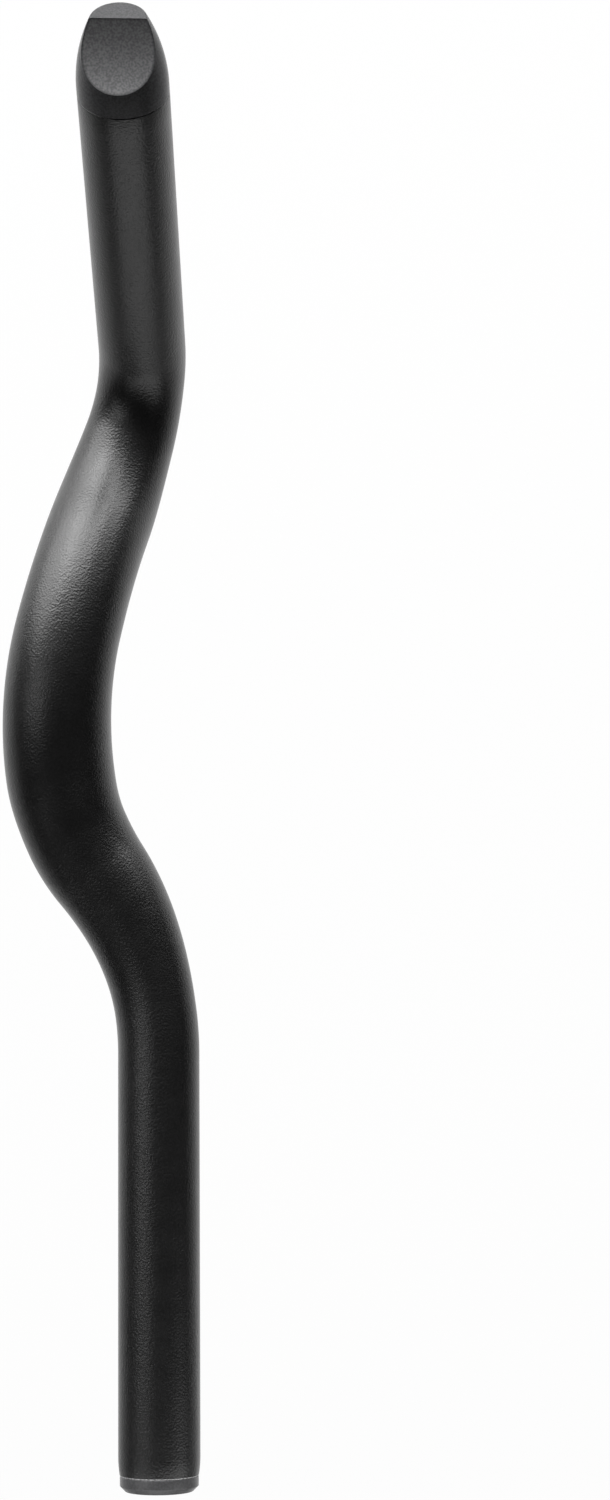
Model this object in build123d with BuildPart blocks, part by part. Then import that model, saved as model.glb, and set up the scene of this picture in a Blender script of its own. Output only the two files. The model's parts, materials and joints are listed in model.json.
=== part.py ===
from build123d import *
import os
from math import ceil, cos, hypot, radians, sin, sqrt, tan

# Aero handlebar extension, left hand: a moulded tube with a plug in each end.
# Frame: origin on the clamp axis where the straight clamp section ends and the bends begin,
# +Y forward, +Z up, +X inboard, towards the middle of the bicycle. Millimetres and degrees.

# Clamp section, the straight rear of the tube
clamp_diameter = 22.2
clamp_run = 113.2
wall = 2.0
lead_length = 5.5
lead_drop = 0.45

# Bends, in order from the rear. A heading is degrees inboard of straight ahead, a pitch is degrees up.
elbow_radius = 84.5
elbow_heading = -36.0
elbow_pitch = 0.0
heel_radius = 46.5
heel_heading = -6.5
heel_pitch = 21.0
crest_radius = 69.5
crest_heading = 12.9
crest_pitch = -7.0
shoulder_radius = 88.0
shoulder_heading = 16.7
shoulder_pitch = -28.0
dip_radius = 50.0
dip_heading = 17.7
dip_pitch = 3.0
wrist_radius = 32.0
grip_heading = -1.5
grip_pitch = 52.0
grip_run = 83.5

# Palm swell: outside diameters, and how far past or before a bend each is reached
heel_diameter = 28.8
crest_diameter = 29.7
palm_diameter = 28.2
grip_diameter = 24.0
swell_delay = 10.5
heel_delay = 13.0
grip_lead = 11.0
section_spacing = 4.0

# Front plug
edge_break = 0.3
nose_land = 2.0
nose_length = 22.2
nose_tip_radius = 7.3
nose_tip_round = 0.5
scoop_radius = 30.0
scoop_foot = 7.0
scoop_roll = 4.5
nose_core_depth = 3.0

# Rear plug
cap_thickness = 4.0
cap_chamfer = 1.45

# Stems of both plugs, inside the bore
stem_length = 18.0
stem_wall = 1.8
stem_clearance = 0.08
barb_count = 4
barb_depth = 0.7
barb_lead = 1.2

clamp_radius = clamp_diameter / 2
rear_radius = clamp_radius - lead_drop
grip_radius = grip_diameter / 2


def toward(heading, pitch):
    """Unit vector for a heading inboard of straight ahead and a pitch up."""
    across = sin(radians(heading)) * cos(radians(pitch))
    ahead = cos(radians(heading)) * cos(radians(pitch))
    return Vector(across, ahead, sin(radians(pitch)))


# Centreline: two straight runs joined by tangent arcs. bend_spans holds where along it each bend starts and ends.
bends = [
    (elbow_radius, toward(elbow_heading, elbow_pitch)),
    (heel_radius, toward(heel_heading, heel_pitch)),
    (crest_radius, toward(crest_heading, crest_pitch)),
    (shoulder_radius, toward(shoulder_heading, shoulder_pitch)),
    (dip_radius, toward(dip_heading, dip_pitch)),
    (wrist_radius, toward(grip_heading, grip_pitch)),
]
bend_spans = []
with BuildLine() as centreline:
    place = Vector(0, 0, 0)
    aim = toward(0, 0)
    travelled = clamp_run
    Line(place - aim * clamp_run, place)
    for bend_radius, next_aim in bends:
        reach = bend_radius * tan(radians(aim.get_angle(next_aim) / 2))
        arc = TangentArc(place, place + (aim + next_aim) * reach, tangent=aim)
        bend_spans.append((travelled, travelled + arc.length))
        travelled += arc.length
        place = arc @ 1
        aim = next_aim
    Line(place, place + aim * grip_run)
path = centreline.wire()
(elbow_start, _), (heel_start, _), (crest_start, _), (_, shoulder_end), _, (_, wrist_end) = bend_spans

# Outside diameter along the centreline, eased from each of these to the next
swell = [
    (elbow_start + swell_delay, clamp_diameter),
    (heel_start + heel_delay, heel_diameter),
    (crest_start, crest_diameter),
    (shoulder_end, palm_diameter),
    (wrist_end - grip_lead, grip_diameter),
]


def outer_radius(station):
    """Outside radius at a distance along the centreline, with a smooth step between the swell's diameters."""
    for (s0, d0), (s1, d1) in zip(swell, swell[1:]):
        if station <= s1:
            t = max(station - s0, 0) / (s1 - s0)
            return (d0 + (d1 - d0) * t * t * (3 - 2 * t)) / 2
    return grip_radius


def section_plane(station):
    """Plane across the tube at a distance along the centreline: X level and outboard, Y up, Z ahead."""
    ahead = path.tangent_at(station, position_mode=PositionMode.LENGTH)
    origin = path.position_at(station, position_mode=PositionMode.LENGTH)
    return Plane(origin=origin, x_dir=Vector(0, 0, 1).cross(ahead), z_dir=ahead)


def lengthwise_plane(across, roll=0):
    """Plane through the axis of a section plane: X outwards, rolled up from level, and Y ahead."""
    outwards = across.x_dir * cos(radians(roll)) + across.y_dir * sin(radians(roll))
    return Plane(origin=across.origin, x_dir=outwards, z_dir=outwards.cross(across.z_dir))


def barbed_stem(barb_radius):
    """Radii and depths of a plug's stem from its root to its tip, a row of barbs that slope down towards the tip."""
    neck = barb_radius - barb_depth
    pitch = (stem_length - barb_lead) / barb_count
    points = [(neck, 0)]
    for i in range(barb_count):
        depth = barb_lead + i * pitch
        points += [(neck, depth - barb_lead / 2), (barb_radius, depth)]
    return points + [(neck - barb_lead / 2, stem_length)]


tube_rear = section_plane(0)
grip_start = section_plane(wrist_end)
tube_front = section_plane(wrist_end + grip_run)
section_count = ceil((wrist_end - elbow_start) / section_spacing)
stations = [elbow_start + (wrist_end - elbow_start) * i / section_count for i in range(section_count + 1)]

with BuildPart() as extension_tube:
    # Clamp section, eased in at its rear end
    with BuildSketch(lengthwise_plane(tube_rear)):
        with BuildLine():
            lead = TangentArc(
                (clamp_radius, lead_length),
                (rear_radius, edge_break),
                tangent=(0, -1),
            )
            Polyline(
                lead @ 1,
                (rear_radius - edge_break, 0),
                (clamp_radius - wall, 0),
                (clamp_radius - wall, clamp_run),
                (clamp_radius, clamp_run),
                lead @ 0,
            )
        make_face()
    revolve(axis=Axis(tube_rear.origin, tube_rear.z_dir))
    # Bent and swollen middle, with its bore
    for station in stations:
        with BuildSketch(section_plane(station)):
            Circle(outer_radius(station))
    loft()
    for station in stations:
        with BuildSketch(section_plane(station)):
            Circle(outer_radius(station) - wall)
    loft(mode=Mode.SUBTRACT)
    # Straight grip, its front edge broken where the plug meets it
    with BuildSketch(lengthwise_plane(grip_start)):
        with BuildLine():
            Polyline(
                (grip_radius - wall, 0),
                (grip_radius, 0),
                (grip_radius, grip_run - edge_break),
                (grip_radius - edge_break, grip_run),
                (grip_radius - wall, grip_run),
                close=True,
            )
        make_face()
    revolve(axis=Axis(grip_start.origin, grip_start.z_dir))

# Nose of the front plug: a short land at the joint, then an arc tangent to it that closes in to the flat tip
nose_drop = grip_radius - nose_tip_radius
nose_arc_length = nose_length - nose_land
nose_arc_radius = (nose_arc_length**2 + nose_drop**2) / (2 * nose_drop)


def nose_radius(height):
    """Radius of the nose at a height above the joint."""
    return grip_radius - nose_arc_radius + sqrt(nose_arc_radius**2 - max(height - nose_land, 0) ** 2)


# Thumb scoop: a round trough across the nose, from the middle of the tip down to its foot on the upper side
foot_radius = nose_radius(scoop_foot)
scoop_rise = nose_length - scoop_foot
scoop_chord = hypot(foot_radius, scoop_rise)
centre_offset = sqrt(scoop_radius**2 - (scoop_chord / 2) ** 2) / scoop_chord
scoop_centre = (
    foot_radius / 2 + centre_offset * scoop_rise,
    scoop_foot + scoop_rise / 2 + centre_offset * foot_radius,
)

with BuildPart() as front_plug:
    stem_outline = barbed_stem(grip_radius - wall - stem_clearance)
    stem_bore = stem_outline[0][0] - stem_wall
    plug_axis = Axis(tube_front.origin, tube_front.z_dir)
    with BuildSketch(lengthwise_plane(tube_front)):
        with BuildLine():
            nose_arc = TangentArc((grip_radius, nose_land), (nose_tip_radius, nose_length), tangent=(0, 1))
            Polyline(
                nose_arc @ 1,
                (0, nose_length),
                (0, nose_core_depth),
                (stem_bore, nose_core_depth),
                (stem_bore, -stem_length),
                *[(radius, -depth) for radius, depth in reversed(stem_outline)],
                (grip_radius - edge_break, 0),
                (grip_radius, edge_break),
                nose_arc @ 0,
            )
        make_face()
    revolve(axis=plug_axis)
    tip_rim = front_plug.faces().sort_by(plug_axis)[-1].edges()
    fillet(tip_rim, nose_tip_round)
    with BuildSketch(lengthwise_plane(tube_front, 90 - scoop_roll)):
        with Locations(scoop_centre):
            Circle(scoop_radius)
    extrude(amount=grip_diameter, both=True, mode=Mode.SUBTRACT)

with BuildPart() as rear_plug:
    stem_outline = barbed_stem(clamp_radius - wall - stem_clearance)
    stem_bore = stem_outline[0][0] - stem_wall
    with BuildSketch(lengthwise_plane(tube_rear)):
        with BuildLine():
            Polyline(
                (0, 0),
                (stem_bore, 0),
                (stem_bore, stem_length),
                *reversed(stem_outline),
                (rear_radius, 0),
                (rear_radius, cap_chamfer - cap_thickness),
                (rear_radius - cap_chamfer, -cap_thickness),
                (0, -cap_thickness),
                close=True,
            )
        make_face()
    revolve(axis=Axis(tube_rear.origin, tube_rear.z_dir))

os.makedirs("parts", exist_ok=True)
extension_tube.part.label = "extension_tube"
export_step(extension_tube.part, "parts/extension_tube.step")
front_plug.part.label = "front_plug"
export_step(front_plug.part, "parts/front_plug.step")
rear_plug.part.label = "rear_plug"
export_step(rear_plug.part, "parts/rear_plug.step")
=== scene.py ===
import json
import math
from collections import namedtuple

import bpy
import numpy as np
from mathutils import Matrix, Vector


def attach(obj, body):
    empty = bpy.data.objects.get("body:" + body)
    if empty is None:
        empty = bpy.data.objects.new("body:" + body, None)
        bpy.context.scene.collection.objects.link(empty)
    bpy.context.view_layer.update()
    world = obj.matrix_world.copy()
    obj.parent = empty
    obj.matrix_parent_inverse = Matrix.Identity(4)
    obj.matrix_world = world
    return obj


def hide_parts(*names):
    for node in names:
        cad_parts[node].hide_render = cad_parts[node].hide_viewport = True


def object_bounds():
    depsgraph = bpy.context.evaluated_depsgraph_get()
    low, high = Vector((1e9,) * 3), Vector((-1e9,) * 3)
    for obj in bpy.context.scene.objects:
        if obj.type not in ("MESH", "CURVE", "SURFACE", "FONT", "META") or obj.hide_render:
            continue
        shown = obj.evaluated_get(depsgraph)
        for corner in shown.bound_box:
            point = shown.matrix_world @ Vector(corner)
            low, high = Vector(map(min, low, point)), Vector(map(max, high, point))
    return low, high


bl_info = {
    "name": "Aero handlebar extension",
    "version": (1, 0, 0),
    "blender": (4, 5, 0),
    "location": "3D View > Sidebar > Extension",
    "description": "Dresses the left aero handlebar extension and sets its studio",
    "category": "Object",
}

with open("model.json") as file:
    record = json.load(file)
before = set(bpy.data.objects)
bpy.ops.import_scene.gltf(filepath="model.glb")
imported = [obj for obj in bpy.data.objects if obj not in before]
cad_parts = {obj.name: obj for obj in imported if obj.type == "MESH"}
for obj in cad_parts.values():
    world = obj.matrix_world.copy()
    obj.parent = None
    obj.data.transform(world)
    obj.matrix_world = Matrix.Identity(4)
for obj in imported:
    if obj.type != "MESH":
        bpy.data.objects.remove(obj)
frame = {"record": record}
cad_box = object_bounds()
MM = 0.001
CLAMP = frame["record"]["mounts"][0]["dims"]

# Gloss of each finish: specular level, weight of a thin film that shows at the rims, contrast of the flecks
GLOSS = {
    "tube": {"specular": 0.78, "film": 0.4, "contrast": 0.4},
    "nose": {"specular": 0.2, "film": 1.0, "contrast": 0.22},
    "cap": {"specular": 0.8, "film": 0.6, "contrast": 0.2},
}
FILM_IOR = 1.12
FILM_ROUGHNESS = 0.25

# Grain: how far the mottle swings the roughness, its width in grains, and where nearly all of a noise lies
ROUGHNESS_SWING = 0.015
MOTTLE_WIDTH = 10
MOTTLE_DETAIL = 3
NOISE_LOW = 0.3
NOISE_HIGH = 0.7

# Soft lamps: degrees inboard of straight ahead, degrees up, metres away, metres wide and high, watts
LAMPS = {
    "Front softbox": dict(heading=-3, pitch=31, away=1.6, wide=1.5, high=1.15, power=33),
    "Outboard front softbox": dict(heading=-41, pitch=17, away=1.5, wide=1.05, high=1.3, power=18),
    "Inboard front softbox": dict(heading=24, pitch=12, away=1.5, wide=1.6, high=0.8, power=16),
    "Outboard strip": dict(heading=-91, pitch=46, away=1.9, wide=0.1, high=1.4, power=2.7),
    "Rear card": dict(heading=175, pitch=11, away=0.28, wide=0.56, high=0.16, power=0.385),
}

# Tube's mesh: points round a ring, rows in the eased rear end, and steps along straight runs, bends and the
# bent bore
RING_COUNT = 128
LEAD_ROWS = 10
STRAIGHT_STEP = 6.0 * MM
BEND_STEP = 1.0 * MM
BORE_STEP = 3.0 * MM

# Nose's mesh: points along a side of the scoop's rim, round the tip and across the line between tip and scoop
SIDE_COUNT = 49
TIP_COUNT = 40
CHORD_COUNT = 24

# Rows in the nose's edge at the joint, rows from there to the rim, and how they crowd towards the rim
EDGE_ROWS = 7
WALL_ROWS = 40
WALL_CROWDING = 1.6

# Rows inside the scoop and inside the flat tip, as shares of the way from the middle to the edge
SCOOP_SHARES = np.array([0.93, 0.82, 0.7, 0.56, 0.42, 0.28, 0.14])
TIP_SHARES = np.array([0.93, 0.5])

# Backdrop's mesh
BACKDROP_ROWS = 24
BACKDROP_COUNT = 96


# Properties

def length(name, description, millimetres):
    """A length property, given here in millimetres and held in metres."""
    return bpy.props.FloatProperty(
        name=name, description=description, default=millimetres * MM, unit="LENGTH", precision=5
    )


def angle(name, description, degrees):
    """An angle property, given here in degrees and held in radians."""
    return bpy.props.FloatProperty(
        name=name, description=description, default=math.radians(degrees), subtype="ANGLE"
    )


def share(name, description, value):
    """A property from 0 to 1."""
    return bpy.props.FloatProperty(
        name=name, description=description, default=value, min=0, max=1, subtype="FACTOR"
    )


def colour(name, description, red, green, blue):
    """A colour property, in linear light."""
    return bpy.props.FloatVectorProperty(
        name=name, description=description, default=(red, green, blue), min=0, max=1, size=3, subtype="COLOR"
    )


def point(name, description, x, y, z):
    """A point property, given here in millimetres and held in metres."""
    return bpy.props.FloatVectorProperty(
        name=name, description=description, default=(x * MM, y * MM, z * MM), size=3, subtype="TRANSLATION"
    )


class TubeSizes(bpy.types.PropertyGroup):
    """Sizes of the tube. A heading is inboard of straight ahead and a pitch is up."""

    clamp_diameter: length("Clamp diameter", "Outside of the straight clamp section", 2 * CLAMP["r_mm"])
    clamp_run: length("Clamp run", "Straight length behind the bends", 113.2)
    wall: length("Wall", "Thickness of the tube's wall", 2.0)
    lead_length: length("Lead-in length", "Length of the eased rear end", 5.5)
    lead_drop: length("Lead-in drop", "How far the rear end eases in", 0.45)
    edge_break: length("Edge break", "Rounding of the end edges", 0.3)
    elbow_radius: length("Elbow radius", "Bend outboard", 84.5)
    elbow_heading: angle("Elbow heading", "Heading after the elbow", -36.0)
    elbow_pitch: angle("Elbow pitch", "Pitch after the elbow", 0.0)
    heel_radius: length("Heel radius", "Bend back to straight ahead", 46.5)
    heel_heading: angle("Heel heading", "Heading after the heel", -6.5)
    heel_pitch: angle("Heel pitch", "Pitch after the heel", 21.0)
    crest_radius: length("Crest radius", "Bend over the palm rest", 69.5)
    crest_heading: angle("Crest heading", "Heading after the crest", 12.9)
    crest_pitch: angle("Crest pitch", "Pitch after the crest", -7.0)
    shoulder_radius: length("Shoulder radius", "Bend down in front of the palm rest", 88.0)
    shoulder_heading: angle("Shoulder heading", "Heading after the shoulder", 16.7)
    shoulder_pitch: angle("Shoulder pitch", "Pitch after the shoulder", -28.0)
    dip_radius: length("Dip radius", "Bend up into the wrist", 50.0)
    dip_heading: angle("Dip heading", "Heading after the dip", 17.7)
    dip_pitch: angle("Dip pitch", "Pitch after the dip", 3.0)
    wrist_radius: length("Wrist radius", "Bend up to the grip", 32.0)
    grip_heading: angle("Grip heading", "Heading of the grip", -1.5)
    grip_pitch: angle("Grip pitch", "Pitch of the grip", 52.0)
    grip_run: length("Grip run", "Straight length of the grip", 83.5)
    heel_diameter: length("Heel diameter", "Outside at the heel", 28.8)
    crest_diameter: length("Crest diameter", "Outside at the crest", 29.7)
    palm_diameter: length("Palm diameter", "Outside under the palm", 28.2)
    grip_diameter: length("Grip diameter", "Outside of the grip", 24.0)
    swell_delay: length("Swell delay", "From the elbow's start to the start of the swell", 10.5)
    heel_delay: length("Heel delay", "From the heel's start to its full diameter", 13.0)
    grip_lead: length("Grip lead", "From the grip diameter to the wrist's end", 11.0)


class PlugSizes(bpy.types.PropertyGroup):
    """Sizes of the two end plugs."""

    nose_land: length("Nose land", "Straight band above the joint", 2.0)
    nose_length: length("Nose length", "From the joint to the flat tip", 22.2)
    nose_tip_radius: length("Nose tip radius", "Where the nose's arc meets the tip", 7.3)
    nose_tip_round: length("Nose tip rounding", "Rounding of the tip's rim", 0.5)
    scoop_radius: length("Scoop radius", "Radius of the thumb scoop's trough", 30.0)
    scoop_foot: length("Scoop foot", "From the joint to the scoop's lowest point", 7.0)
    scoop_roll: angle("Scoop roll", "How far the scoop turns outboard", 4.5)
    scoop_round: length("Scoop rounding", "Rounding of the scoop's rim", 0.22)
    nose_core_depth: length("Nose core depth", "How far the stem's bore runs into the nose", 3.0)
    cap_thickness: length("Cap thickness", "Thickness of the rear cap", 4.0)
    cap_chamfer: length("Cap chamfer", "Chamfer round the rear cap", 1.45)
    cap_round: length("Cap rounding", "Rounding of the rear cap's edges", 0.18)
    stem_length: length("Stem length", "How far a plug reaches into the tube", 18.0)
    stem_wall: length("Stem wall", "Thickness of a stem's wall", 1.8)
    stem_clearance: length("Stem clearance", "Between a stem's barbs and the bore", 0.08)
    barb_depth: length("Barb depth", "Height of a barb", 0.7)
    barb_lead: length("Barb lead", "From the flange to the first barb", 1.2)
    barb_count: bpy.props.IntProperty(name="Barbs", description="Barbs along a stem", default=4, min=1)


class Finishes(bpy.types.PropertyGroup):
    """Colours, roughness and grain of the surfaces."""

    tube_colour: colour("Tube", "Matte black of the tube", 0.0042, 0.0042, 0.0043)
    # Rear edge: partly the bare cut edge, partly a painted highlight of the light that the rounded edge
    # catches
    bare_edge_and_highlight_colour: colour("Cut edge", "Bare edge at the rear of the tube", 0.42, 0.42, 0.425)
    front_plug_colour: colour("Front plug", "Black of the front plug", 0.046, 0.046, 0.048)
    # Scoop: its paler tint is painted light, standing in for the light that falls on the scoop's face
    scoop_painted_light_colour: colour("Scoop", "Paler black of the textured thumb scoop", 0.142, 0.142, 0.145)
    rear_plug_colour: colour("Rear plug", "Black of the rear plug", 0.056, 0.056, 0.058)
    tube_roughness: share("Tube roughness", "Roughness of the tube", 0.37)
    front_plug_roughness: share("Front plug roughness", "Roughness of the front plug", 0.55)
    rear_plug_roughness: share("Rear plug roughness", "Roughness of the rear plug", 0.4)
    grain_size: length("Grain size", "Width of one grain of the matte finish", 0.54)
    tube_grain: length("Tube grain", "Height of the tube's grain", 0.08)
    front_plug_grain: length("Front plug grain", "Height of the front plug's grain", 0.03)
    rear_plug_grain: length("Rear plug grain", "Height of the rear plug's grain", 0.005)


class StudioSettings(bpy.types.PropertyGroup):
    """Camera, floor, backdrop and the point that the lamps face."""

    camera_distance: length("Camera distance", "From the camera to the point it looks at", 850.0)
    camera_tilt: angle("Camera tilt", "How far the camera leans to the rear from straight above", 5.5)
    camera_turn: angle("Camera turn", "How far the picture is turned", 0.335)
    lens: bpy.props.FloatProperty(name="Lens", description="Focal length", default=75.68, unit="CAMERA")
    camera_aim: point("Camera aim", "Point it looks at", 40.4, 81.25, 18.7)
    lamp_aim: point("Lamp aim", "Point the lamps face", 0.0, 80.0, 20.0)
    floor_drop: length("Floor drop", "From the part's lowest point to the floor", 300.0)
    floor_reach: length("Floor reach", "From the middle of the floor to its edges", 12000.0)
    floor_colour: colour("Floor", "Pale floor", 0.65, 0.65, 0.65)
    floor_roughness: share("Floor roughness", "Roughness of the floor", 0.9)
    floor_white: share("Floor white", "How far the floor and backdrop show white to the camera", 0.96)
    gloss_white: share("Gloss white", "How far the floor near the part shows white in gloss and glass", 0.94)
    white_reach: length("White reach", "How far out gloss and glass show the floor white", 300.0)
    white_end: length("White end", "How far out that white has faded away", 500.0)
    ambience: share("Ambience", "Strength of the light from all round", 0.0)


# Shapes as arrays

# A straight stretch has no radius. A bend turns from its aim towards sideways, a unit vector square to it.
Stretch = namedtuple("Stretch", "start length point aim radius sideways")


def toward(heading, pitch):
    """Unit vector for a heading inboard of straight ahead and a pitch up."""
    flat = math.cos(pitch)
    return np.array([math.sin(heading) * flat, math.cos(heading) * flat, math.sin(pitch)])


def centreline(sizes):
    """Stretches of the tube's centreline from the rear: a straight run, tangent arcs and a straight run."""
    bends = [
        (sizes.elbow_radius, toward(sizes.elbow_heading, sizes.elbow_pitch)),
        (sizes.heel_radius, toward(sizes.heel_heading, sizes.heel_pitch)),
        (sizes.crest_radius, toward(sizes.crest_heading, sizes.crest_pitch)),
        (sizes.shoulder_radius, toward(sizes.shoulder_heading, sizes.shoulder_pitch)),
        (sizes.dip_radius, toward(sizes.dip_heading, sizes.dip_pitch)),
        (sizes.wrist_radius, toward(sizes.grip_heading, sizes.grip_pitch)),
    ]
    aim = toward(0, 0)
    place = np.zeros(3)
    station = sizes.clamp_run
    stretches = [Stretch(0, station, place - aim * station, aim, None, None)]
    for radius, next_aim in bends:
        turn = math.acos(aim @ next_aim)
        sideways = (next_aim - aim * math.cos(turn)) / math.sin(turn)
        stretches.append(Stretch(station, radius * turn, place, aim, radius, sideways))
        station += radius * turn
        place = place + radius * (math.sin(turn) * aim + (1 - math.cos(turn)) * sideways)
        aim = next_aim
    stretches.append(Stretch(station, sizes.grip_run, place, aim, None, None))
    return stretches


def front_end(stretches):
    """Station of the tube's front end."""
    return stretches[-1].start + stretches[-1].length


def along(stretches, stations):
    """Points and aims of the centreline at an array of stations, each on the last stretch begun by then."""
    points = np.zeros((len(stations), 3))
    aims = np.zeros((len(stations), 3))
    for stretch in stretches:
        here = stations >= stretch.start
        run = (stations[here] - stretch.start)[:, None]
        if stretch.radius is None:
            points[here] = stretch.point + run * stretch.aim
            aims[here] = stretch.aim
        else:
            turn = run / stretch.radius
            bent = np.sin(turn) * stretch.aim + (1 - np.cos(turn)) * stretch.sideways
            points[here] = stretch.point + stretch.radius * bent
            aims[here] = np.cos(turn) * stretch.aim + np.sin(turn) * stretch.sideways
    return points, aims


def outer_radius(sizes, stretches, stations):
    """Outside radius at an array of stations: smooth steps, 3t^2 - 2t^3, from each diameter to the next."""
    bends = [(stretch.start, stretch.start + stretch.length) for stretch in stretches if stretch.radius]
    (elbow, _), (heel, _), (crest, _), (_, shoulder_end), _, (_, wrist_end) = bends
    places = [
        elbow + sizes.swell_delay,
        heel + sizes.heel_delay,
        crest,
        shoulder_end,
        wrist_end - sizes.grip_lead,
    ]
    diameters = [
        sizes.clamp_diameter,
        sizes.heel_diameter,
        sizes.crest_diameter,
        sizes.palm_diameter,
        sizes.grip_diameter,
    ]
    total = np.full(len(stations), diameters[0])
    for first, last, before, after in zip(places, places[1:], diameters, diameters[1:]):
        t = np.clip((stations - first) / (last - first), 0, 1)
        total += (after - before) * t * t * (3 - 2 * t)
    return total / 2


def cross_axes(aims):
    """Level outboard and upward unit vectors square to each aim."""
    outboard = np.cross([0, 0, 1], aims)
    outboard /= np.linalg.norm(outboard, axis=-1, keepdims=True)
    return outboard, np.cross(aims, outboard)


def round_angles(count):
    """Even angles round a full turn."""
    return np.arange(count) * 2 * math.pi / count


def rings(points, aims, radii, angles):
    """Circles round the points, square to the aims: point + radius (cos(angle) outboard + sin(angle) up)."""
    outboard, up = cross_axes(aims)
    spokes = np.cos(angles)[None, :, None] * outboard[:, None] + np.sin(angles)[None, :, None] * up[:, None]
    return points[:, None] + radii[:, None, None] * spokes


def turned(profile, angles):
    """A profile turned about the height axis, as rows of (radius cos(angle), radius sin(angle), height)."""
    return np.stack([
        profile[:, :1] * np.cos(angles),
        profile[:, :1] * np.sin(angles),
        np.repeat(profile[:, 1:], len(angles), axis=1),
    ], axis=-1)


def drop_of_arc(distance, reach, depth):
    """Drop of an arc at a distance from its outer end: radius - sqrt(radius^2 - run^2).

    The arc has that reach and depth, and is level at its inner end.
    """
    radius = (reach**2 + depth**2) / (2 * depth)
    run = np.clip(reach - distance, 0, reach)
    return radius - np.sqrt(radius**2 - run**2)


def round_steps(size, count=6):
    """Distances from an edge, closer together near it, that follow a quarter circle of that size."""
    return size * (1 - np.cos(np.linspace(0, math.pi / 2, count)))


def corner(centre, radius, first, last, count=5):
    """Points of an arc about a centre, from one angle to another, in degrees."""
    turn = np.radians(np.linspace(first, last, count))
    return np.column_stack([centre[0] + radius * np.cos(turn), centre[1] + radius * np.sin(turn)])


def travelled(points):
    """Distance along a polyline to each of its points."""
    return np.concatenate([[0], np.cumsum(np.linalg.norm(np.diff(points, axis=0), axis=1))])


def spread(points, count):
    """A polyline as that many points, evenly along it."""
    travel = travelled(points)
    even = np.linspace(0, travel[-1], count)
    return np.column_stack([np.interp(even, travel, axis) for axis in points.T])


def grid_quads(rows, columns, first=0):
    """Quads of a grid of rows of points whose columns close round, as indices from the first point."""
    here = first + np.arange(rows * columns).reshape(rows, columns)
    beside = np.roll(here, -1, axis=1)
    return np.stack([here[:-1], beside[:-1], beside[1:], here[1:]], axis=-1).reshape(-1, 4)


def strip_quads(near, far):
    """Quads between two closed loops of indices of the same length."""
    return np.stack([near, np.roll(near, -1), np.roll(far, -1), far], axis=-1)


def fan(loop, pole):
    """Triangles from a closed loop of indices to one pole."""
    return np.stack([loop, np.roll(loop, -1), np.full(len(loop), pole)], axis=-1)


def spokes_in(loop, rows, first):
    """Indices, from the first, of rows of points that run in from a closed loop to a pole, and the faces."""
    inner = first + np.arange(rows * len(loop)).reshape(rows, -1)
    pole = first + inner.size
    faces = [strip_quads(loop, inner[0]), grid_quads(rows, len(loop), first), fan(inner[-1], pole)]
    return np.append(inner, pole), faces


def as_list(*arrays):
    """Arrays of faces as one list of faces."""
    return [face for array in arrays for face in array.tolist()]


def tube_surface(sizes):
    """The tube as one closed profile carried along the centreline: out along the outside, back down the bore.

    Gives its points, its faces and the indices of the points on the broken edge at the rear, whose pale tint
    is partly the bare cut edge and partly a painted highlight. A row just past that edge keeps its tint from
    running on along the tube.
    """
    stretches = centreline(sizes)
    bend_start = sizes.clamp_run
    bend_end = stretches[-1].start
    end = front_end(stretches)
    edge = round_steps(sizes.edge_break)
    past_edge = 1.2 * sizes.edge_break
    lead_start = 1.5 * sizes.edge_break
    outside = np.unique(np.concatenate([
        edge,
        [past_edge],
        np.linspace(lead_start, sizes.lead_length, LEAD_ROWS),
        np.arange(sizes.lead_length, bend_start, STRAIGHT_STEP),
        np.arange(bend_start, bend_end, BEND_STEP),
        np.arange(bend_end, end - sizes.edge_break, STRAIGHT_STEP),
        end - edge,
    ]))
    radius = outer_radius(sizes, stretches, outside)
    radius -= drop_of_arc(outside, sizes.lead_length, sizes.lead_drop)
    radius -= drop_of_arc(outside, sizes.edge_break, sizes.edge_break)
    radius -= drop_of_arc(end - outside, sizes.edge_break, sizes.edge_break)
    inside = np.concatenate([
        np.arange(end, bend_end, -STRAIGHT_STEP),
        np.arange(bend_end, bend_start, -BORE_STEP),
        np.arange(bend_start, 0, -STRAIGHT_STEP),
        [0],
    ])
    stations = np.concatenate([outside, inside])
    radii = np.concatenate([radius, outer_radius(sizes, stretches, inside) - sizes.wall])
    points, aims = along(stretches, stations)
    surface = rings(points, aims, radii, round_angles(RING_COUNT))
    rows = len(stations)
    first_row = np.arange(RING_COUNT)
    last_row = first_row + (rows - 1) * RING_COUNT
    faces = as_list(grid_quads(rows, RING_COUNT), strip_quads(last_row, first_row))
    on_edge = np.flatnonzero(np.repeat(outside <= sizes.edge_break, RING_COUNT))
    return surface.reshape(-1, 3), faces, on_edge


def stem_outline(plug, bore_radius):
    """Radii and depths of a plug's barbed stem from its root to its tip."""
    barb_radius = bore_radius - plug.stem_clearance
    neck = barb_radius - plug.barb_depth
    pitch = (plug.stem_length - plug.barb_lead) / plug.barb_count
    depths = plug.barb_lead + np.arange(plug.barb_count) * pitch
    feet = np.column_stack([np.full(plug.barb_count, neck), depths - plug.barb_lead / 2])
    tops = np.column_stack([np.full(plug.barb_count, barb_radius), depths])
    barbs = np.stack([feet, tops], axis=1).reshape(-1, 2)
    return np.vstack([[neck, 0], barbs, [neck - plug.barb_lead / 2, plug.stem_length]])


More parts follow.
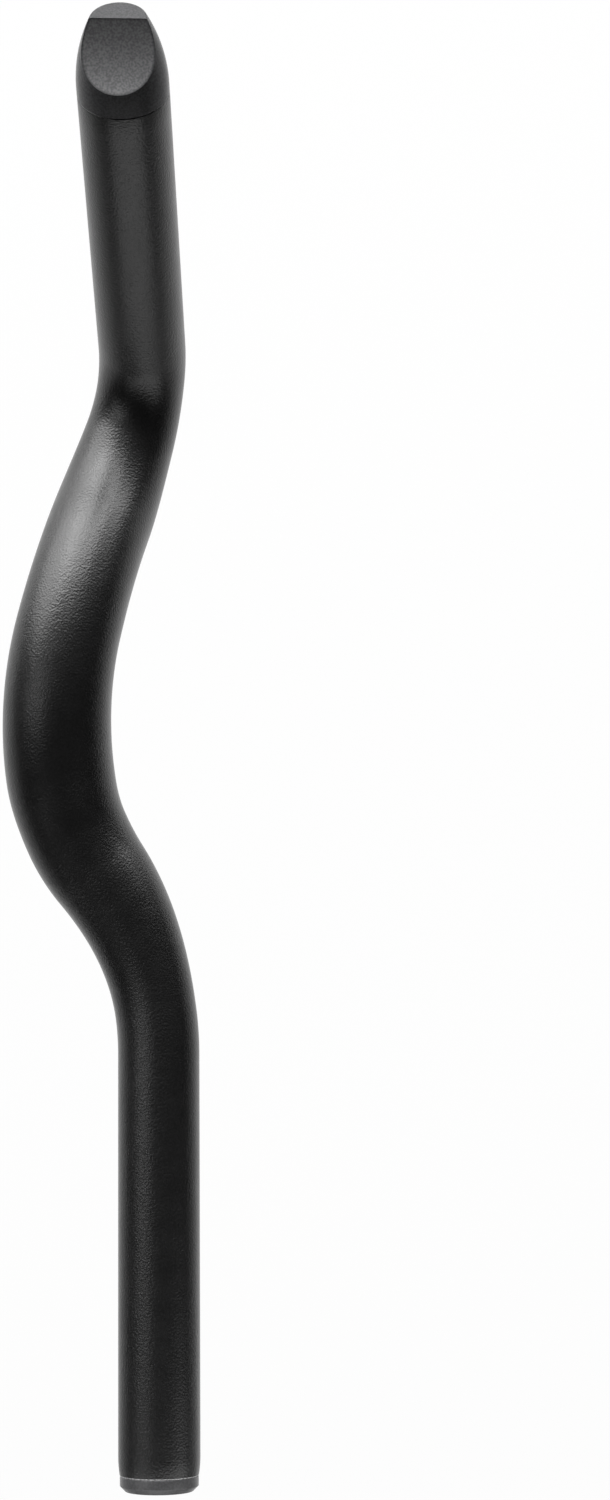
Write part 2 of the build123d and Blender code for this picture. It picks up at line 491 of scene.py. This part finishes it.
def nose_profile(sizes, plug):
    """Radii and heights up the nose: rounded edge, land, an arc tangent to the land, rounding of the tip."""
    radius = sizes.grip_diameter / 2
    drop = radius - plug.nose_tip_radius
    rise = plug.nose_length - plug.nose_land
    arc_radius = (rise**2 + drop**2) / (2 * drop)
    arc_centre = (radius - arc_radius, plug.nose_land)
    tip = plug.nose_tip_round
    tip_up = rise - tip
    tip_out = math.sqrt((arc_radius - tip) ** 2 - tip_up**2)
    tip_angle = math.degrees(math.atan2(tip_up, tip_out))
    tip_centre = (arc_centre[0] + tip_out, plug.nose_length - tip)
    edge = sizes.edge_break
    return np.vstack([
        corner((radius - edge, edge), edge, -90, 0, EDGE_ROWS),
        corner(arc_centre, arc_radius, 0, tip_angle, count=400),
        corner(tip_centre, tip, tip_angle, 90, count=60)[1:],
    ])


def scoop_side(profile, plug, count=4000):
    """One side of the scoop's rim from its foot to the middle of the tip, and the centre of the trough's arc.

    The trough is round about an axis that runs sideways. It passes through the nose at the foot's height and
    through the middle of the tip, and meets the nose where sideways^2 = nose radius^2 - outward^2. The points
    are outward, sideways and height, and crowd towards the foot.
    """
    foot = np.interp(plug.scoop_foot, profile[:, 1], profile[:, 0])
    rise = plug.nose_length - plug.scoop_foot
    chord = math.hypot(foot, rise)
    offset = math.sqrt(plug.scoop_radius**2 - (chord / 2) ** 2) / chord
    centre = np.array([
        foot / 2 + offset * rise,
        plug.scoop_foot + rise / 2 + offset * foot,
    ])
    first = math.atan2(plug.scoop_foot - centre[1], foot - centre[0])
    last = math.atan2(plug.nose_length - centre[1], -centre[0])
    if last > first:
        last -= 2 * math.pi
    turn = first + (last - first) * np.linspace(0, 1, count) ** 2
    outward = centre[0] + plug.scoop_radius * np.cos(turn)
    height = centre[1] + plug.scoop_radius * np.sin(turn)
    nose = np.interp(height, profile[:, 1], profile[:, 0])
    sideways = np.sqrt(np.clip(nose**2 - outward**2, 0, None))
    return np.column_stack([outward, sideways, height]), centre


def nose_rim(side, plug):
    """Closed loop of points up one side of the scoop's rim, round the flat tip and down the other side."""
    right = spread(side, SIDE_COUNT)
    tip_radius = right[-1, 1]
    turn = np.radians(np.linspace(90, 270, TIP_COUNT + 1))
    tip = np.column_stack([
        tip_radius * np.cos(turn),
        tip_radius * np.sin(turn),
        np.full(TIP_COUNT + 1, plug.nose_length),
    ])
    left = right[::-1] * [1, -1, 1]
    return np.vstack([right, tip[1:-1], left[:-1]])


def nose_walls(sizes, plug, profile, rim):
    """Rows of points under the rim: down the bore, up the stem, round the edge and up the nose.

    The rows as far as the edge are the same all round. Those above it are shares of each column's own way
    along the profile to the rim.
    """
    stem = stem_outline(plug, sizes.grip_diameter / 2 - sizes.wall)
    bore = stem[0, 0] - plug.stem_wall
    lower = np.vstack([
        [bore, plug.nose_core_depth],
        [bore, -plug.stem_length],
        stem[::-1] * [1, -1],
        profile[:EDGE_ROWS],
    ])
    travel = travelled(profile)
    base = travel[EDGE_ROWS - 1]
    top = np.interp(rim[:, 2], profile[:, 1], travel)
    shares = 1 - np.linspace(1, 0, WALL_ROWS + 1)[1:, None] ** WALL_CROWDING
    way = base + (top - base) * shares
    columns = len(rim)
    radius = np.vstack([np.repeat(lower[:, :1], columns, axis=1), np.interp(way, travel, profile[:, 0])])
    height = np.vstack([np.repeat(lower[:, 1:], columns, axis=1), np.interp(way, travel, profile[:, 1])])
    angles = np.unwrap(np.arctan2(rim[:, 1], rim[:, 0]))
    return np.stack([radius * np.cos(angles), radius * np.sin(angles), height], axis=-1)


def scoop_floor(edge, centre, plug):
    """Points in the scoop, then its middle: shares of the edge's turn about the trough's axis and width."""
    turn = np.unwrap(np.arctan2(edge[:, 2] - centre[1], edge[:, 0] - centre[0]))
    middle = (turn.min() + turn.max()) / 2
    inner_turn = np.append(middle + (turn - middle) * SCOOP_SHARES[:, None], middle)
    inner_side = np.append(edge[:, 1] * SCOOP_SHARES[:, None], 0)
    return np.column_stack([
        centre[0] + plug.scoop_radius * np.cos(inner_turn),
        inner_side,
        centre[1] + plug.scoop_radius * np.sin(inner_turn),
    ])


def tip_face(edge):
    """Points inside the flat tip, then its middle: shares of the way from the middle to the edge."""
    middle = edge.mean(axis=0)
    inner = middle + (edge - middle) * TIP_SHARES[:, None, None]
    return np.vstack([inner.reshape(-1, 3), middle])


def front_plug_surface(sizes, plug):
    """The front plug in its own axes: outward, sideways and height.

    Columns stand on the scoop's rim and the tip's edge, so each runs from the bore up the stem and nose to
    that rim. The scoop and the flat tip are spokes drawn in from the rim to a pole. Gives the points, the
    faces, the pairs of points along the scoop's rim, and the indices of the points inside the scoop, which
    get a paler tint as painted light.
    """
    profile = nose_profile(sizes, plug)
    side, centre = scoop_side(profile, plug)
    rim = nose_rim(side, plug)
    walls = nose_walls(sizes, plug, profile, rim)
    rows, columns = walls.shape[:2]
    bore_pole = rows * columns
    tip_radius = rim[SIDE_COUNT - 1, 1]
    between = np.column_stack([
        np.zeros(CHORD_COUNT - 1),
        np.linspace(-tip_radius, tip_radius, CHORD_COUNT + 1)[1:-1],
        np.full(CHORD_COUNT - 1, plug.nose_length),
    ])
    points = np.vstack([walls.reshape(-1, 3), [0, 0, plug.nose_core_depth], between])
    chord = bore_pole + 1 + np.arange(CHORD_COUNT - 1)
    top_row = (rows - 1) * columns + np.arange(columns)
    right, tip, left = np.split(top_row, [SIDE_COUNT, SIDE_COUNT + TIP_COUNT - 1])
    scoop_loop = np.concatenate([right, chord[::-1], left])
    tip_loop = np.concatenate([right[-1:], tip, left[:1], chord])
    in_scoop, scoop_faces = spokes_in(scoop_loop, len(SCOOP_SHARES), len(points))
    points = np.vstack([points, scoop_floor(points[scoop_loop], centre, plug)])
    _, tip_faces = spokes_in(tip_loop, len(TIP_SHARES), len(points))
    points = np.vstack([points, tip_face(points[tip_loop])])
    bore_bottom = fan(np.arange(columns)[::-1], bore_pole)
    faces = as_list(grid_quads(rows, columns), bore_bottom, *scoop_faces, *tip_faces)
    pairs = np.column_stack([scoop_loop, np.roll(scoop_loop, -1)])
    return points, faces, pairs, in_scoop


def rear_plug_surface(sizes, plug):
    """The rear plug as a profile of radii and heights turned about the clamp axis, a pole at each end."""
    stem = stem_outline(plug, sizes.clamp_diameter / 2 - sizes.wall)
    bore = stem[0, 0] - plug.stem_wall
    radius = sizes.clamp_diameter / 2 - sizes.lead_drop
    edge = plug.cap_round
    band = plug.cap_chamfer - plug.cap_thickness
    tuck = edge * math.tan(math.pi / 8)
    profile = np.vstack([
        [bore, 0],
        [bore, plug.stem_length],
        stem[::-1],
        corner((radius - edge, -edge), edge, 90, 0, count=6),
        corner((radius - edge, band + tuck), edge, 0, -45),
        corner((radius - plug.cap_chamfer - tuck, edge - plug.cap_thickness), edge, -45, -90),
    ])
    surface = turned(profile, round_angles(RING_COUNT))
    rows = len(profile)
    first_row = np.arange(RING_COUNT)
    last_row = first_row + (rows - 1) * RING_COUNT
    bore_pole = rows * RING_COUNT
    cap_pole = bore_pole + 1
    points = np.vstack([surface.reshape(-1, 3), [0, 0, 0], [0, 0, -plug.cap_thickness]])
    faces = as_list(
        grid_quads(rows, RING_COUNT)[:, ::-1],
        fan(first_row, bore_pole),
        fan(last_row[::-1], cap_pole),
    )
    return points, faces


def backdrop_surface(reach, height):
    """A half sphere that stands on the floor: rings at even angles from its edge up to a pole at the top."""
    lift = np.linspace(0, math.pi / 2, BACKDROP_ROWS, endpoint=False)
    profile = np.column_stack([reach * np.cos(lift), height + reach * np.sin(lift)])
    surface = turned(profile, round_angles(BACKDROP_COUNT))
    last_row = np.arange(BACKDROP_COUNT) + (BACKDROP_ROWS - 1) * BACKDROP_COUNT
    pole = BACKDROP_ROWS * BACKDROP_COUNT
    faces = as_list(grid_quads(BACKDROP_ROWS, BACKDROP_COUNT), fan(last_row, pole))
    return np.vstack([surface.reshape(-1, 3), [0, 0, height + reach]]), faces


# Pieces

def place_plug(points, origin, outward, sideways, ahead):
    """Points from a plug's own axes into the part's frame."""
    return origin + points @ np.stack([outward, sideways, ahead])


def add_piece(name, node, points, faces, material, sharp=40):
    """Makes a smooth mesh, sharp past an angle in degrees, that stands for a node on the one body."""
    mesh = bpy.data.meshes.new(name)
    mesh.from_pydata(points.tolist(), [], faces)
    mesh.polygons.foreach_set("use_smooth", np.ones(len(mesh.polygons), bool))
    mesh.set_sharp_from_angle(angle=math.radians(sharp))
    mesh.materials.append(material)
    mesh.validate()
    mesh.update()
    piece = bpy.data.objects.new(name, mesh)
    bpy.context.scene.collection.objects.link(piece)
    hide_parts(node)
    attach(piece, "root")
    return piece


def mark_paler(piece, chosen):
    """Writes the mesh attribute "paler", which is 1 at the chosen points and 0 at the others."""
    # The chosen points get the paler tint: the scoop's painted light, and the rear edge's bare edge with a
    # painted highlight
    mask = np.zeros(len(piece.data.vertices), np.float32)
    mask[chosen] = 1
    piece.data.attributes.new("paler", "FLOAT", "POINT").data.foreach_set("value", mask)


def round_edges(piece, pairs, width):
    """Rounds the edges that join the given pairs of points with a Bevel modifier."""
    mesh = piece.data
    ends = np.zeros(len(mesh.edges) * 2, np.int64)
    mesh.edges.foreach_get("vertices", ends)
    ends = np.sort(ends.reshape(-1, 2), axis=1)
    wanted = np.sort(pairs, axis=1)
    count = len(mesh.vertices)
    weight = np.isin(ends @ [count, 1], wanted @ [count, 1]).astype(np.float32)
    mesh.attributes.new("bevel_weight_edge", "FLOAT", "EDGE").data.foreach_set("value", weight)
    bevel = piece.modifiers.new("Rounded rim", "BEVEL")
    bevel.limit_method = "WEIGHT"
    bevel.width = width
    bevel.segments = 3


# Materials

def fine_grain():
    """A node group for a fine even grain: a value from 0 to 1 at one size, and a wider, softer mottle."""
    group = bpy.data.node_groups.get("Fine grain")
    if group:
        return group
    group = bpy.data.node_groups.new("Fine grain", "ShaderNodeTree")
    group.interface.new_socket("Grain size", in_out="INPUT", socket_type="NodeSocketFloat")
    group.interface.new_socket("Grain", in_out="OUTPUT", socket_type="NodeSocketFloat")
    group.interface.new_socket("Mottle", in_out="OUTPUT", socket_type="NodeSocketFloat")
    nodes = group.nodes
    links = group.links
    given = nodes.new("NodeGroupInput")
    result = nodes.new("NodeGroupOutput")
    coordinates = nodes.new("ShaderNodeTexCoord")
    scale = nodes.new("ShaderNodeMath")
    scale.operation = "DIVIDE"
    scale.inputs[0].default_value = 1
    links.new(given.outputs["Grain size"], scale.inputs[1])
    grain = nodes.new("ShaderNodeTexNoise")
    grain.inputs["Detail"].default_value = 0
    links.new(coordinates.outputs["Object"], grain.inputs["Vector"])
    links.new(scale.outputs[0], grain.inputs["Scale"])
    wider = nodes.new("ShaderNodeMath")
    wider.operation = "MULTIPLY"
    wider.inputs[1].default_value = 1 / MOTTLE_WIDTH
    links.new(scale.outputs[0], wider.inputs[0])
    mottle = nodes.new("ShaderNodeTexNoise")
    mottle.inputs["Detail"].default_value = MOTTLE_DETAIL
    links.new(coordinates.outputs["Object"], mottle.inputs["Vector"])
    links.new(wider.outputs[0], mottle.inputs["Scale"])
    links.new(grain.outputs["Fac"], result.inputs["Grain"])
    links.new(mottle.outputs["Fac"], result.inputs["Mottle"])
    return group


def add_noise_range(nodes, middle, swing):
    """A Map Range node that takes a noise to values about a middle, as far as a swing each way."""
    node = nodes.new("ShaderNodeMapRange")
    node.inputs["From Min"].default_value = NOISE_LOW
    node.inputs["From Max"].default_value = NOISE_HIGH
    node.inputs["To Min"].default_value = middle - swing
    node.inputs["To Max"].default_value = middle + swing
    return node


def black_finish(name, tint, roughness, grain_size, grain_height, specular, film, contrast, paler=None):
    """A black surface under a thin film. Its tint is flecked by its grain, which also stands up as bump.

    The mottle varies the roughness a little. With paler given, the tint goes over to that one where the mesh
    attribute "paler" is 1: painted light on the nose's scoop, and on the tube's rear edge a bare cut edge
    with a painted highlight.
    """
    material = bpy.data.materials.new(name)
    material.use_nodes = True
    nodes = material.node_tree.nodes
    links = material.node_tree.links
    shader = nodes["Principled BSDF"]
    shader.inputs["Specular IOR Level"].default_value = specular
    shader.inputs["Coat Weight"].default_value = film
    shader.inputs["Coat IOR"].default_value = FILM_IOR
    shader.inputs["Coat Roughness"].default_value = FILM_ROUGHNESS
    grain = nodes.new("ShaderNodeGroup")
    grain.node_tree = fine_grain()
    grain.inputs["Grain size"].default_value = grain_size
    flecks = add_noise_range(nodes, 1, contrast)
    links.new(grain.outputs["Grain"], flecks.inputs["Value"])
    shade = nodes.new("ShaderNodeMix")
    shade.data_type = "RGBA"
    shade.blend_type = "MULTIPLY"
    shade.inputs["Factor"].default_value = 1
    shade.inputs["A"].default_value = (*tint, 1)
    links.new(flecks.outputs["Result"], shade.inputs["B"])
    links.new(shade.outputs["Result"], shader.inputs["Base Color"])
    # Mix towards the paler tint where marked: painted light on the scoop, painted highlight on the rear edge
    if paler:
        where = nodes.new("ShaderNodeAttribute")
        where.attribute_name = "paler"
        tone = nodes.new("ShaderNodeMix")
        tone.data_type = "RGBA"
        tone.inputs["A"].default_value = (*tint, 1)
        tone.inputs["B"].default_value = (*paler, 1)
        links.new(where.outputs["Fac"], tone.inputs["Factor"])
        links.new(tone.outputs["Result"], shade.inputs["A"])
    gloss = add_noise_range(nodes, roughness, ROUGHNESS_SWING)
    links.new(grain.outputs["Mottle"], gloss.inputs["Value"])
    links.new(gloss.outputs["Result"], shader.inputs["Roughness"])
    bump = nodes.new("ShaderNodeBump")
    bump.inputs["Strength"].default_value = 1
    bump.inputs["Distance"].default_value = grain_height
    links.new(grain.outputs["Grain"], bump.inputs["Height"])
    links.new(bump.outputs["Normal"], shader.inputs["Normal"])
    return material


def stage_material(name, studio, centre, lit):
    """A pale surface that shows near white to the camera, and in gloss and glass near the centre too.

    Lit, it is a floor that keeps the shadow. Unlit, it is a backdrop that gives no light back.
    """
    material = bpy.data.materials.new(name)
    material.use_nodes = True
    nodes = material.node_tree.nodes
    links = material.node_tree.links
    shader = nodes["Principled BSDF"]
    shader.inputs["Base Color"].default_value = (*studio.floor_colour, 1)
    shader.inputs["Roughness"].default_value = studio.floor_roughness
    shader.inputs["Specular IOR Level"].default_value = 0
    glow = nodes.new("ShaderNodeEmission")
    glow.inputs["Strength"].default_value = 1
    ray = nodes.new("ShaderNodeLightPath")
    mirrored = nodes.new("ShaderNodeMath")
    mirrored.operation = "MAXIMUM"
    links.new(ray.outputs["Is Glossy Ray"], mirrored.inputs[0])
    links.new(ray.outputs["Is Transmission Ray"], mirrored.inputs[1])
    coordinates = nodes.new("ShaderNodeTexCoord")
    away = nodes.new("ShaderNodeVectorMath")
    away.operation = "DISTANCE"
    away.inputs[1].default_value = centre
    links.new(coordinates.outputs["Object"], away.inputs[0])
    fade = nodes.new("ShaderNodeMapRange")
    fade.interpolation_type = "SMOOTHSTEP"
    fade.inputs["From Min"].default_value = studio.white_reach
    fade.inputs["From Max"].default_value = studio.white_end
    fade.inputs["To Min"].default_value = studio.gloss_white
    fade.inputs["To Max"].default_value = 0
    links.new(away.outputs["Value"], fade.inputs["Value"])
    in_gloss = nodes.new("ShaderNodeMath")
    in_gloss.operation = "MULTIPLY"
    links.new(mirrored.outputs[0], in_gloss.inputs[0])
    links.new(fade.outputs["Result"], in_gloss.inputs[1])
    white = nodes.new("ShaderNodeMath")
    white.operation = "MULTIPLY_ADD"
    white.inputs[1].default_value = studio.floor_white
    links.new(ray.outputs["Is Camera Ray"], white.inputs[0])
    links.new(in_gloss.outputs[0], white.inputs[2])
    mix = nodes.new("ShaderNodeMixShader")
    links.new(white.outputs[0], mix.inputs["Fac"])
    if lit:
        links.new(shader.outputs["BSDF"], mix.inputs[1])
    else:
        nodes.remove(shader)
    links.new(glow.outputs["Emission"], mix.inputs[2])
    links.new(mix.outputs["Shader"], nodes["Material Output"].inputs["Surface"])
    return material


# Stage

def add_stage(name, points, faces, material):
    """Makes a mesh that belongs to the stage and not to the part."""
    mesh = bpy.data.meshes.new(name)
    mesh.from_pydata(points, [], faces)
    mesh.materials.append(material)
    surface = bpy.data.objects.new(name, mesh)
    bpy.context.scene.collection.objects.link(surface)


def add_lamp(name, aim, heading, pitch, away, wide, high, power):
    """A soft rectangular lamp that stands away from a point in a direction and faces it."""
    data = bpy.data.lights.new(name, "AREA")
    data.shape = "RECTANGLE"
    data.size = wide
    data.size_y = high
    data.energy = power
    lamp = bpy.data.objects.new(name, data)
    direction = Vector(toward(math.radians(heading), math.radians(pitch)))
    lamp.location = Vector(aim) + direction * away
    lamp.rotation_euler = direction.to_track_quat("Z", "Y").to_euler()
    bpy.context.scene.collection.objects.link(lamp)


def add_camera(studio):
    """A camera above its aim that leans to the rear, with the picture turned about its line of sight."""
    data = bpy.data.cameras.new("Camera")
    data.lens = studio.lens
    camera = bpy.data.objects.new("Camera", data)
    back = Vector((0, -math.sin(studio.camera_tilt), math.cos(studio.camera_tilt)))
    level_up = Vector((0, math.cos(studio.camera_tilt), math.sin(studio.camera_tilt)))
    across = Vector((1, 0, 0))
    right = math.cos(studio.camera_turn) * across - math.sin(studio.camera_turn) * level_up
    up = math.sin(studio.camera_turn) * across + math.cos(studio.camera_turn) * level_up
    turn = Matrix((right, up, back)).transposed().to_4x4()
    stand = Vector(studio.camera_aim) + back * studio.camera_distance
    camera.matrix_world = Matrix.Translation(stand) @ turn
    bpy.context.scene.collection.objects.link(camera)
    return camera


# Operators

class EXTENSION_OT_make_tube(bpy.types.Operator):
    """Make the bent and swollen tube"""

    bl_idname = "extension.make_tube"
    bl_label = "Tube"

    def execute(self, context):
        finish = context.scene.extension_finishes
        points, faces, on_edge = tube_surface(context.scene.extension_tube)
        material = black_finish(
            "Matte black tube",
            finish.tube_colour,
            finish.tube_roughness,
            finish.grain_size,
            finish.tube_grain,
            # the rear edge's pale tint: bare cut edge with a painted highlight
            paler=finish.bare_edge_and_highlight_colour,
            **GLOSS["tube"],
        )
        piece = add_piece("tube", "extension_tube", points, faces, material)
        # Marks the rear edge for its pale tint, partly bare edge and partly painted highlight
        mark_paler(piece, on_edge)
        return {"FINISHED"}


class EXTENSION_OT_make_front_plug(bpy.types.Operator):
    """Make the scooped nose plug in the front of the tube"""

    bl_idname = "extension.make_front_plug"
    bl_label = "Front plug"

    def execute(self, context):
        sizes = context.scene.extension_tube
        plug = context.scene.extension_plugs
        finish = context.scene.extension_finishes
        stretches = centreline(sizes)
        origin, ahead = (found[0] for found in along(stretches, np.array([front_end(stretches)])))
        outboard, up = cross_axes(ahead)
        outward = math.sin(plug.scoop_roll) * outboard + math.cos(plug.scoop_roll) * up
        points, faces, pairs, in_scoop = front_plug_surface(sizes, plug)
        points = place_plug(points, origin, outward, np.cross(ahead, outward), ahead)
        material = black_finish(
            "Matte black nose",
            finish.front_plug_colour,
            finish.front_plug_roughness,
            finish.grain_size,
            finish.front_plug_grain,
            # the scoop's paler tint is painted light
            paler=finish.scoop_painted_light_colour,
            **GLOSS["nose"],
        )
        piece = add_piece("nose_plug", "front_plug", points, faces, material)
        # Marks the scoop for its painted light
        mark_paler(piece, in_scoop)
        round_edges(piece, pairs, plug.scoop_round)
        return {"FINISHED"}


class EXTENSION_OT_make_rear_plug(bpy.types.Operator):
    """Make the chamfered cap in the rear of the tube"""

    bl_idname = "extension.make_rear_plug"
    bl_label = "Rear plug"

    def execute(self, context):
        sizes = context.scene.extension_tube
        finish = context.scene.extension_finishes
        stretches = centreline(sizes)
        origin, ahead = (found[0] for found in along(stretches, np.array([0.0])))
        outboard, up = cross_axes(ahead)
        points, faces = rear_plug_surface(sizes, context.scene.extension_plugs)
        points = place_plug(points, origin, outboard, up, ahead)
        material = black_finish(
            "Satin black cap",
            finish.rear_plug_colour,
            finish.rear_plug_roughness,
            finish.grain_size,
            finish.rear_plug_grain,
            **GLOSS["cap"],
        )
        add_piece("end_cap", "rear_plug", points, faces, material)
        return {"FINISHED"}


class EXTENSION_OT_set_stage(bpy.types.Operator):
    """Set the floor, the backdrop, the lamps and the camera"""

    bl_idname = "extension.set_stage"
    bl_label = "Stage"

    def execute(self, context):
        scene = context.scene
        studio = scene.extension_studio

        half = studio.floor_reach
        height = cad_box[0].z - studio.floor_drop
        centre = (*studio.camera_aim[:2], height)
        corners = [(-half, -half, height), (half, -half, height), (half, half, height), (-half, half, height)]
        add_stage("floor", corners, [(0, 1, 2, 3)], stage_material("Pale floor", studio, centre, True))
        points, faces = backdrop_surface(half, height)
        add_stage("backdrop", points.tolist(), faces, stage_material("Pale backdrop", studio, centre, False))

        world = bpy.data.worlds.new("Studio")
        world.use_nodes = True
        world.node_tree.nodes["Background"].inputs["Color"].default_value = (1, 1, 1, 1)
        world.node_tree.nodes["Background"].inputs["Strength"].default_value = studio.ambience
        scene.world = world

        for name, lamp in LAMPS.items():
            add_lamp(name, studio.lamp_aim, **lamp)

        scene.camera = add_camera(studio)
        scene.view_settings.view_transform = "Standard"
        return {"FINISHED"}


class EXTENSION_PT_pieces(bpy.types.Panel):
    """The extension's pieces and its studio"""

    bl_idname = "EXTENSION_PT_pieces"
    bl_label = "Aero handlebar extension"
    bl_space_type = "VIEW_3D"
    bl_region_type = "UI"
    bl_category = "Extension"

    def draw(self, context):
        for operator in OPERATORS:
            self.layout.operator(operator.bl_idname)
        for pointer, group in GROUPS.items():
            settings = getattr(context.scene, pointer)
            column = self.layout.column()
            for name in group.__annotations__:
                column.prop(settings, name)


OPERATORS = [
    EXTENSION_OT_make_tube,
    EXTENSION_OT_make_front_plug,
    EXTENSION_OT_make_rear_plug,
    EXTENSION_OT_set_stage,
]
GROUPS = {
    "extension_tube": TubeSizes,
    "extension_plugs": PlugSizes,
    "extension_finishes": Finishes,
    "extension_studio": StudioSettings,
}


def register():
    for group in GROUPS.values():
        bpy.utils.register_class(group)
    for operator in [*OPERATORS, EXTENSION_PT_pieces]:
        bpy.utils.register_class(operator)
    for name, group in GROUPS.items():
        setattr(bpy.types.Scene, name, bpy.props.PointerProperty(type=group))


def unregister():
    for name in GROUPS:
        delattr(bpy.types.Scene, name)
    for operator in [EXTENSION_PT_pieces, *OPERATORS]:
        bpy.utils.unregister_class(operator)
    for group in GROUPS.values():
        bpy.utils.unregister_class(group)


def main():
    register()
    bpy.ops.extension.make_tube()
    bpy.ops.extension.make_front_plug()
    bpy.ops.extension.make_rear_plug()
    bpy.ops.extension.set_stage()


if __name__ == "__main__":
    main()
